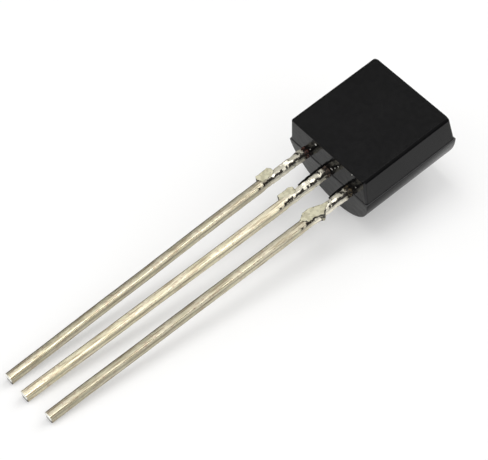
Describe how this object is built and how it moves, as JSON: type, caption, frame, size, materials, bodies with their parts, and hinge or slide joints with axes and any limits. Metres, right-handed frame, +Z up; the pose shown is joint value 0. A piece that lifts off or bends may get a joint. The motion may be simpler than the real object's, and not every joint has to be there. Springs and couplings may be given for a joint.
{
  "type": "triac",
  "caption": "Small triac in a half-round moulded plastic package with one flat face and a row of long straight leads, lying flat side up.",
  "frame": {"origin": "on the surface that the part rests on, under the middle of its bounding box", "axes": "+Z up; the leads point towards -Y and the top end of the body towards +Y; the marked flat faces up, leaning towards -Y by the rest angle; +X runs from the first lead to the third"},
  "size_m": [0.0046, 0.019, 0.0039],
  "materials": {
    "moulded_epoxy": "satin",
    "tinned_lead": "satin",
    "silicon": "gloss",
    "solder": "satin",
    "aluminium_wire": "gloss"
  },
  "bodies": {
    "root": {"body": "moulded_epoxy", "terminal_2_lead": "tinned_lead", "gate_lead": "tinned_lead", "terminal_1_lead": "tinned_lead", "triac_die": "silicon", "die_attach_solder": "solder", "gate_bond_wire": "aluminium_wire", "terminal_1_bond_wire": "aluminium_wire"}
  },
  "joints": []
}
